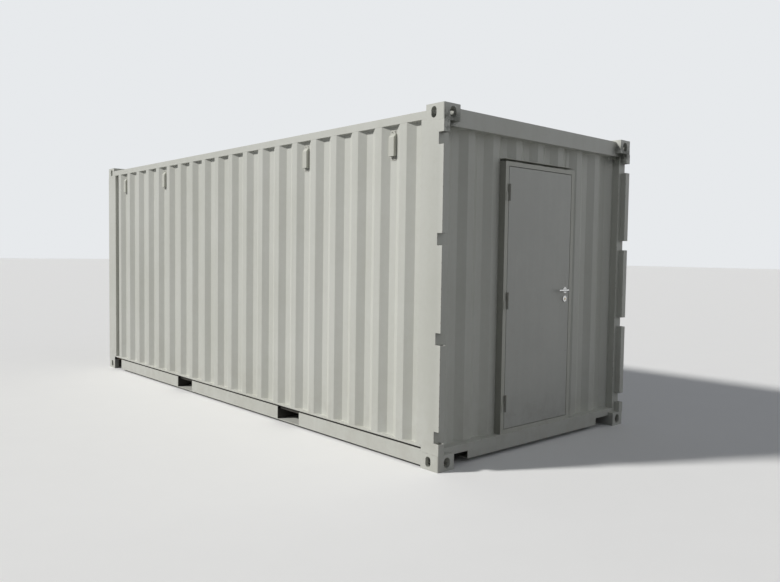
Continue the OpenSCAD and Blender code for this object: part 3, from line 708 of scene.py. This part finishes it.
vent_paint = sprayed_steel("vent_paint", (0.535, 0.540, 0.485, 1), chips=0.5, soiled_and_shaded=washed_flanges)
rivet_steel = sprayed_steel("rivet_steel", (0.130, 0.112, 0.090, 1), chips=1.0)
coated(eased("side_vents", 0.0008), vent_paint)
flanges = bmesh.new()
rivets = {-1: [], 1: []}
for sign in (-1, 1):
    for y in VENT_PLACES:
        wall = sign * (HALF_W - DEPTH)
        for z0, z1 in FLANGE_LEVELS:
            near, far = sorted((wall, wall + sign * FLANGE_T))
            plate(flanges, near, far, y - FLANGE_HALF_W, y + FLANGE_HALF_W, z0, z1, FLANGE_T / 5)
            for across in (-RIVET_ACROSS, RIVET_ACROSS):
                rivets[sign].append((wall + sign * RIVET_OUT, y + across, (z0 + z1) / 2))
flanges = coated(object_from(flanges, "vent_flanges"), vent_paint)
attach(flanges, "shell")
for sign, label in ((-1, "left"), (1, "right")):
    outwards = (0.0, sign * math.pi / 2)
    heads_at("vent_rivets_" + label, rivets[sign], rivet_steel, "paint_shell", turn=outwards)

# Door frame
# A frame of folded 2 mm sheet welded into the opening, with a stop all round and a drip strip over the
# head that throws rain clear of the door. The threshold is screwed down and worn by boots.
FRAME_MIDDLE, FRAME_SIDE = -0.024, (0.4545, 0.4557)
OPENING_X1 = 0.392
THRESHOLD_X, THRESHOLD_Y, THRESHOLD_Z = (-0.33, FRAME_MIDDLE, 0.282), -2.951, 0.183


def frame_side_shade(coat):
    """Painted shade on the frame's two outer sides, where they meet the sheets."""
    return coat.band(abs(coat.across - FRAME_MIDDLE), *FRAME_SIDE) * 0.50


# The frame's outer sides carry painted shade.
frame_paint = sprayed_steel("frame_paint", (0.520, 0.524, 0.470, 1), chips=0.5, soiled_and_shaded=frame_side_shade)
for name in ("door_jamb_left", "door_jamb_right", "door_head", "drip_strip"):
    coated(eased(name, 0.0008), frame_paint)
coated(eased("door_threshold", 0.0008), frame_paint)
heads_at(
    "threshold_screws", [(x, THRESHOLD_Y, THRESHOLD_Z) for x in THRESHOLD_X],
    frame_paint, "threshold_steel", radius=0.0055, rise=0.0010,
)

# Seal
# A black rubber tube that the leaf closes against on all four sides. It is extruded, cut to length and
# pressed on the frame's stop.
RUBBER_AND_HOLE_SHADE, BLOOM = (0.018, 0.018, 0.019, 1), (0.075, 0.073, 0.068, 1)
SEAL_R, SEAL_Y, SEAL_SIDES, SEAL_ENDS = 0.002, -2.929, (-0.4325, 0.3845), (0.1905, 2.2195)


# Black rubber for the seal; its second copy is painted shade in the keyways and the strike plate's holes.
def rubber():
    skin = Finish("seal_rubber", Metallic=0.0, IOR=1.5)
    bloom = skin.band(skin.noise(26.0, 5.0, 0.65), 0.42, 0.70)
    skin.feed(
        Base_Color=skin.blend(bloom * 0.5, RUBBER_AND_HOLE_SHADE, BLOOM),
        Roughness=0.55 + 0.25 * bloom,
    )
    skin.bump(skin.noise(420.0, 2.0, 0.5), 0.0002)
    return skin.material


left_foot, left_head, right_foot, right_head = ((x, SEAL_Y, z) for x in SEAL_SIDES for z in SEAL_ENDS)
seal_runs = [
    [left_foot, left_head], [right_foot, right_head], [left_head, right_head], [left_foot, right_foot],
]
along_runs("door_seal", seal_runs, SEAL_R, 0.0, rubber())

# Door leaf
# Two pressed skins folded over a foam core, smoother and a little glossier than the container, and
# greyer where hands and boots meet it.
LEAF_GREY = (0.505, 0.512, 0.474)
HAND_GRIME, WORN_SKIN = (0.230, 0.212, 0.180, 1), (0.250, 0.235, 0.215, 1)
TOUCHED_Z, TOUCHED_HIGH, TOUCHED_X, TOUCHED_WIDE = 1.24, 0.26, 0.33, 0.15
KICKED, SCRATCHED = (0.20, 0.52), (0.7, 1.5)


def door_paint():
    coat = Finish("leaf_paint", Metallic=0.0, IOR=1.5)
    cloud = coat.noise(1.6, 5.0, 0.62)
    streak = coat.noise(14.0, 5.0, 0.65, coat.stretched(1.0, 1.0, 0.07, 5.3))
    mottle = coat.noise(31.0, 4.0, 0.6)
    shade = coat.band(cloud * 0.6 + streak * 0.25 + mottle * 0.15, 0.36, 0.66)
    tone = coat.blend(shade, toned(LEAF_GREY, 0.93), toned(LEAF_GREY, 1.035))
    reach = abs(coat.height - TOUCHED_Z) / TOUCHED_HIGH
    beside = abs(coat.across - TOUCHED_X) / TOUCHED_WIDE
    far_off = coat.band((reach * reach + beside * beside) ** 0.5, 0.25, 1.0)
    touched = (1 - far_off) * coat.band(mottle, 0.40, 0.62)
    kicked = (1 - coat.band(coat.height, *KICKED)) * coat.band(coat.noise(8.0, 6.0, 0.7), 0.42, 0.66)
    grime = (touched * 0.16).most(kicked * 0.22)
    tone = coat.blend(grime, tone, HAND_GRIME)
    scratch = coat.band(coat.noise(55.0, 2.0, 0.5, coat.stretched(0.25, 1.0, 2.6, 1.7)), 0.735, 0.755)
    scratch = scratch * (1 - coat.band(coat.height, *SCRATCHED)) * 0.5
    bare = scratch.most(coat.worn_edge() * coat.band(coat.noise(44.0, 5.0, 0.7), 0.585, 0.64) * 0.6)
    tone = coat.blend(bare, tone, WORN_SKIN)
    coat.feed(Base_Color=tone, Roughness=0.39 + 0.06 * shade + 0.30 * grime + 0.25 * bare)
    coat.bump(coat.noise(240.0, 2.0, 0.5) * 0.5 + mottle * 0.4 - bare * 0.6, 0.0002)
    return coat.material


leaf_paint = door_paint()
coated(eased("door_leaf", 0.0012, body="door"), leaf_paint)

# Hinges
# Three lift-off hinges of drawn steel, one flag on the frame with the pin and one on the leaf. The flags
# are sprayed over and held by two countersunk screws each, and the knuckles are coloured darker.
HINGE_X, HINGE_Z, FLAG_Y, KNUCKLE = -0.438, (0.388, 1.190, 2.024), -2.980, (0.0070, 0.0082)
SCREW_OUT, SCREW_UP = 0.024, (0.015, 0.050)


# A darker colour on the hinges' knuckles than on their flags.
def darker_knuckles(coat):
    return (1 - coat.band(abs(coat.across - HINGE_X), *KNUCKLE)) * 0.88


hinge_paint = sprayed_steel("hinge_paint", (0.500, 0.504, 0.455, 1), chips=0.9, soiled_and_shaded=darker_knuckles)
coated(eased("hinges_frame_side", 0.0006), hinge_paint)
coated(eased("hinges_leaf_side", 0.0006, body="door"), hinge_paint)
for label, body, way in (("frame", "shell", -1), ("leaf", "door", 1)):
    spots = [(HINGE_X + way * SCREW_OUT, FLAG_Y, z + way * up) for z in HINGE_Z for up in SCREW_UP]
    heads_at(
        "hinge_screws_" + label, spots, hinge_paint, "hinge_steel", body, radius=0.0042, rise=0.0008,
        hole=0.46, deep=0.0009, turn=(math.pi / 2, 0.0),
    )

# Lever handles and lock
# Round bar levers on round roses, with a profile cylinder below, of satin stainless steel. A forend
# with the latch and bolt sits in the leaf's edge, and a strike plate in the jamb.
SATIN_DARK, SATIN_PALE = (0.52, 0.52, 0.51, 1), (0.66, 0.66, 0.65, 1)
BRASS, BRASS_STAINED = (0.560, 0.430, 0.190, 1), (0.330, 0.240, 0.110, 1)
LEVER_X, LEVER_Z, LEAF_EDGE, FOREND_Y = 0.324, 1.256, 0.385, -2.954
CYLINDER_Z = LEVER_Z - 0.072
PLUG_FACES, PLUG_R, PLUG_DEPTH = ((-2.987, -1), (-2.921, 1)), (0.0078, 0.0074), 0.0006
SLOT_HALF_W, SLOT_HALF_H, SLOT_DEPTH = 0.0009, 0.0045, 0.00025
FOREND_BACK, FOREND_OUT, FOREND_SCREWS = 0.002, 0.0007, (-0.150, 0.069)
STRIKE_BACK, STRIKE_OUT, STRIKE_HALF_D, STRIKE_EASE = 0.0008, 0.001, 0.012, 0.0003
STRIKE_FOOT, STRIKE_HEAD, STRIKE_SCREWS = 0.125, 0.045, (-0.116, 0.036)
STRIKE_HOLES, HOLE_HALF_D, HOLE_HALF_T = ((-0.020, 0.020), (-0.096, -0.048)), 0.007, 0.0002
LOCK_SCREW = {"radius": 0.0034, "rise": 0.0006}
# Forend, latch and bolt: out of the edge, half depth, foot and head from the lever's height, rounding.
FOREND_PLATES = (
    (FOREND_OUT, 0.010, -0.158, 0.077, 0.0004),
    (0.0024, 0.006, -0.016, 0.016, 0.0012),
    (0.0016, 0.006, -0.092, -0.052, 0.0005),
)


def satin_steel():
    metal = Finish("satin_steel", Metallic=1.0, IOR=2.5)
    brush = metal.noise(40.0, 5.0, 0.7, metal.stretched(30.0, 1.0, 1.0))
    smear = metal.noise(22.0, 4.0, 0.6)
    tone = metal.blend(smear, SATIN_DARK, SATIN_PALE)
    metal.feed(Base_Color=tone, Roughness=0.19 + 0.10 * brush + 0.04 * smear)
    metal.bump(brush, 0.0001)
    return metal.material


def brass():
    metal = Finish("lock_brass", Metallic=1.0, IOR=2.5)
    stain = metal.band(metal.noise(60.0, 5.0, 0.65), 0.40, 0.66)
    turned = metal.noise(300.0, 3.0, 0.6, metal.stretched(1.0, 1.0, 6.0))
    metal.feed(
        Base_Color=metal.blend(stain, BRASS, BRASS_STAINED),
        Roughness=0.20 + 0.08 * stain + 0.05 * turned,
    )
    metal.bump(turned, 0.0001)
    return metal.material


handle_metal = satin_steel()
for name in ("lever_outside", "lever_inside"):
    coated(eased(name, 0.0009, body="lever", angle=40.0), handle_metal)
coated(eased("lock_furniture", 0.0012, body="door", angle=40.0), handle_metal)
lock_metal = brass()

key_faces = bmesh.new()
for face, out in PLUG_FACES:
    bmesh.ops.create_cone(
        key_faces, cap_ends=True, segments=32, radius1=PLUG_R[0], radius2=PLUG_R[1], depth=PLUG_DEPTH,
        matrix=Matrix.Translation((LEVER_X, face + out * PLUG_DEPTH / 3, CYLINDER_Z))
        @ Matrix.Rotation(math.pi / 2 * -out, 4, "X"),
    )
key_faces = coated(object_from(key_faces, "cylinder_faces"), lock_metal)
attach(key_faces, "door")

# A second rubber finish as painted shade: thin black plates stand for the dark of the keyways.
hole_shade = rubber()
slots = bmesh.new()
for face, out in PLUG_FACES:
    near, far = sorted((face + out * 2 * SLOT_DEPTH, face + out * 3 * SLOT_DEPTH))
    plate(slots, LEVER_X - SLOT_HALF_W, LEVER_X + SLOT_HALF_W, near, far,
          CYLINDER_Z - SLOT_HALF_H, CYLINDER_Z + SLOT_HALF_H)
slots = coated(object_from(slots, "key_slots"), hole_shade)
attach(slots, "door")

latch = bmesh.new()
for out, half, low, high, ease in FOREND_PLATES:
    plate(latch, LEAF_EDGE - FOREND_BACK, LEAF_EDGE + out, FOREND_Y - half, FOREND_Y + half,
          LEVER_Z + low, LEVER_Z + high, ease)
latch = coated(object_from(latch, "latch_forend"), handle_metal)
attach(latch, "door")
heads_at(
    "forend_screws", [(LEAF_EDGE + FOREND_OUT, FOREND_Y, LEVER_Z + up) for up in FOREND_SCREWS],
    lock_metal, "handle_steel", "door", turn=(0.0, math.pi / 2), **LOCK_SCREW,
)

strike = bmesh.new()
plate(strike, OPENING_X1 - STRIKE_BACK, OPENING_X1 + STRIKE_OUT, FOREND_Y - STRIKE_HALF_D,
      FOREND_Y + STRIKE_HALF_D, LEVER_Z - STRIKE_FOOT, LEVER_Z + STRIKE_HEAD, STRIKE_EASE)
strike = coated(object_from(strike, "strike_plate"), handle_metal)
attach(strike, "shell")
# Thin black plates as painted shade in the strike plate's holes.
holes = bmesh.new()
hole_x = OPENING_X1 - STRIKE_BACK
for low, high in STRIKE_HOLES:
    plate(holes, hole_x - HOLE_HALF_T, hole_x + HOLE_HALF_T, FOREND_Y - HOLE_HALF_D,
          FOREND_Y + HOLE_HALF_D, LEVER_Z + low, LEVER_Z + high)
holes = coated(object_from(holes, "strike_holes"), hole_shade)
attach(holes, "shell")
heads_at(
    "strike_screws", [(hole_x, FOREND_Y, LEVER_Z + up) for up in STRIKE_SCREWS],
    lock_metal, "handle_steel", turn=(0.0, -math.pi / 2), **LOCK_SCREW,
)

# Studio
# A pale floor and sky, a key lamp from the left and a soft fill from the right, with the camera where
# the photograph was taken from. Floor and sky are pale only to the camera, to gloss and to glass, and
# darker as light.
FLOOR_HALF, FLOOR_LIT = 120.0, (0.21, 0.21, 0.21, 1)
FLOOR_SHOWN = (0.87, 0.87, 0.86, 1), (0.89, 0.89, 0.88, 1)
SKY_LIT, SKY_SHOWN = (0.136, 0.144, 0.160, 1), (0.80, 0.82, 0.84, 1)
KEY_AROUND, KEY_UP, FILL_FROM = math.radians(31.0), math.radians(35.0), (0.56, -0.82, 0.50)
SENSOR, FOCAL_PX, PHOTO_PX = 36.0, 726.13, 780.0
CAMERA_AT, PITCH_UP, ROLL, YAW = (-4.85299, -6.53878, 1.53778), -0.05076, 0.0144, -0.7323


def shown(net):
    """1 for what the camera sees, straight or through gloss or glass, and 0 for what only lights."""
    rays = [
        net.node("ShaderNodeLightPath", out=way)
        for way in ("Is Camera Ray", "Is Glossy Ray", "Is Transmission Ray")
    ]
    return rays[0].most(rays[1]).most(rays[2])


floor = bmesh.new()
bmesh.ops.create_grid(floor, x_segments=1, y_segments=1, size=FLOOR_HALF)
ground = object_from(floor, "studio_floor")
mat = Finish("studio_floor_finish", Roughness=0.9)
pale = mat.blend(mat.noise(3.0), *FLOOR_SHOWN)
mat.feed(Base_Color=mat.blend(shown(mat), FLOOR_LIT, pale))
ground.data.materials.append(mat.material)

world = bpy.data.worlds.new("studio_sky")
bpy.context.scene.world = world
world.use_nodes = True
sky = Net(world.node_tree)
background = world.node_tree.nodes["Background"]
lit = sky.node("ShaderNodeMix", {0: shown(sky), 6: SKY_LIT, 7: SKY_SHOWN}, out=2, data_type="RGBA")
world.node_tree.links.new(lit.socket, background.inputs["Color"])
background.inputs["Strength"].default_value = 1.0

sun = bpy.data.lights.new("key_lamp", "SUN")
sun.energy = 3.20
sun.angle = math.radians(6.0)
sun.color = (1.0, 0.985, 0.965)
key = bpy.data.objects.new("key_lamp", sun)
toward = Vector((-math.cos(KEY_AROUND), math.sin(KEY_AROUND), math.tan(KEY_UP))).normalized()
key.rotation_mode = "QUATERNION"
key.rotation_quaternion = toward.to_track_quat("Z", "Y")
bpy.context.scene.collection.objects.link(key)

fill = bpy.data.lights.new("fill_lamp", "SUN")
fill.energy = 0.35
fill.angle = math.radians(70.0)
soft = bpy.data.objects.new("fill_lamp", fill)
soft.rotation_mode = "QUATERNION"
soft.rotation_quaternion = Vector(FILL_FROM).to_track_quat("Z", "Y")
bpy.context.scene.collection.objects.link(soft)

lens = bpy.data.cameras.new("photo_camera")
lens.sensor_width = SENSOR
lens.lens = FOCAL_PX / PHOTO_PX * SENSOR
lens.clip_start, lens.clip_end = 0.1, 400.0
camera = bpy.data.objects.new("photo_camera", lens)
turned = (
    Matrix.Rotation(YAW, 3, "Z")
    @ Matrix(((1, 0, 0), (0, 0, -1), (0, 1, 0)))
    @ Matrix.Rotation(PITCH_UP, 3, "X")
    @ Matrix.Rotation(ROLL, 3, "Z")
)
camera.matrix_world = Matrix.Translation(CAMERA_AT) @ turned.to_4x4()
bpy.context.scene.collection.objects.link(camera)
bpy.context.scene.camera = camera
bpy.context.scene.view_settings.view_transform = "Standard"
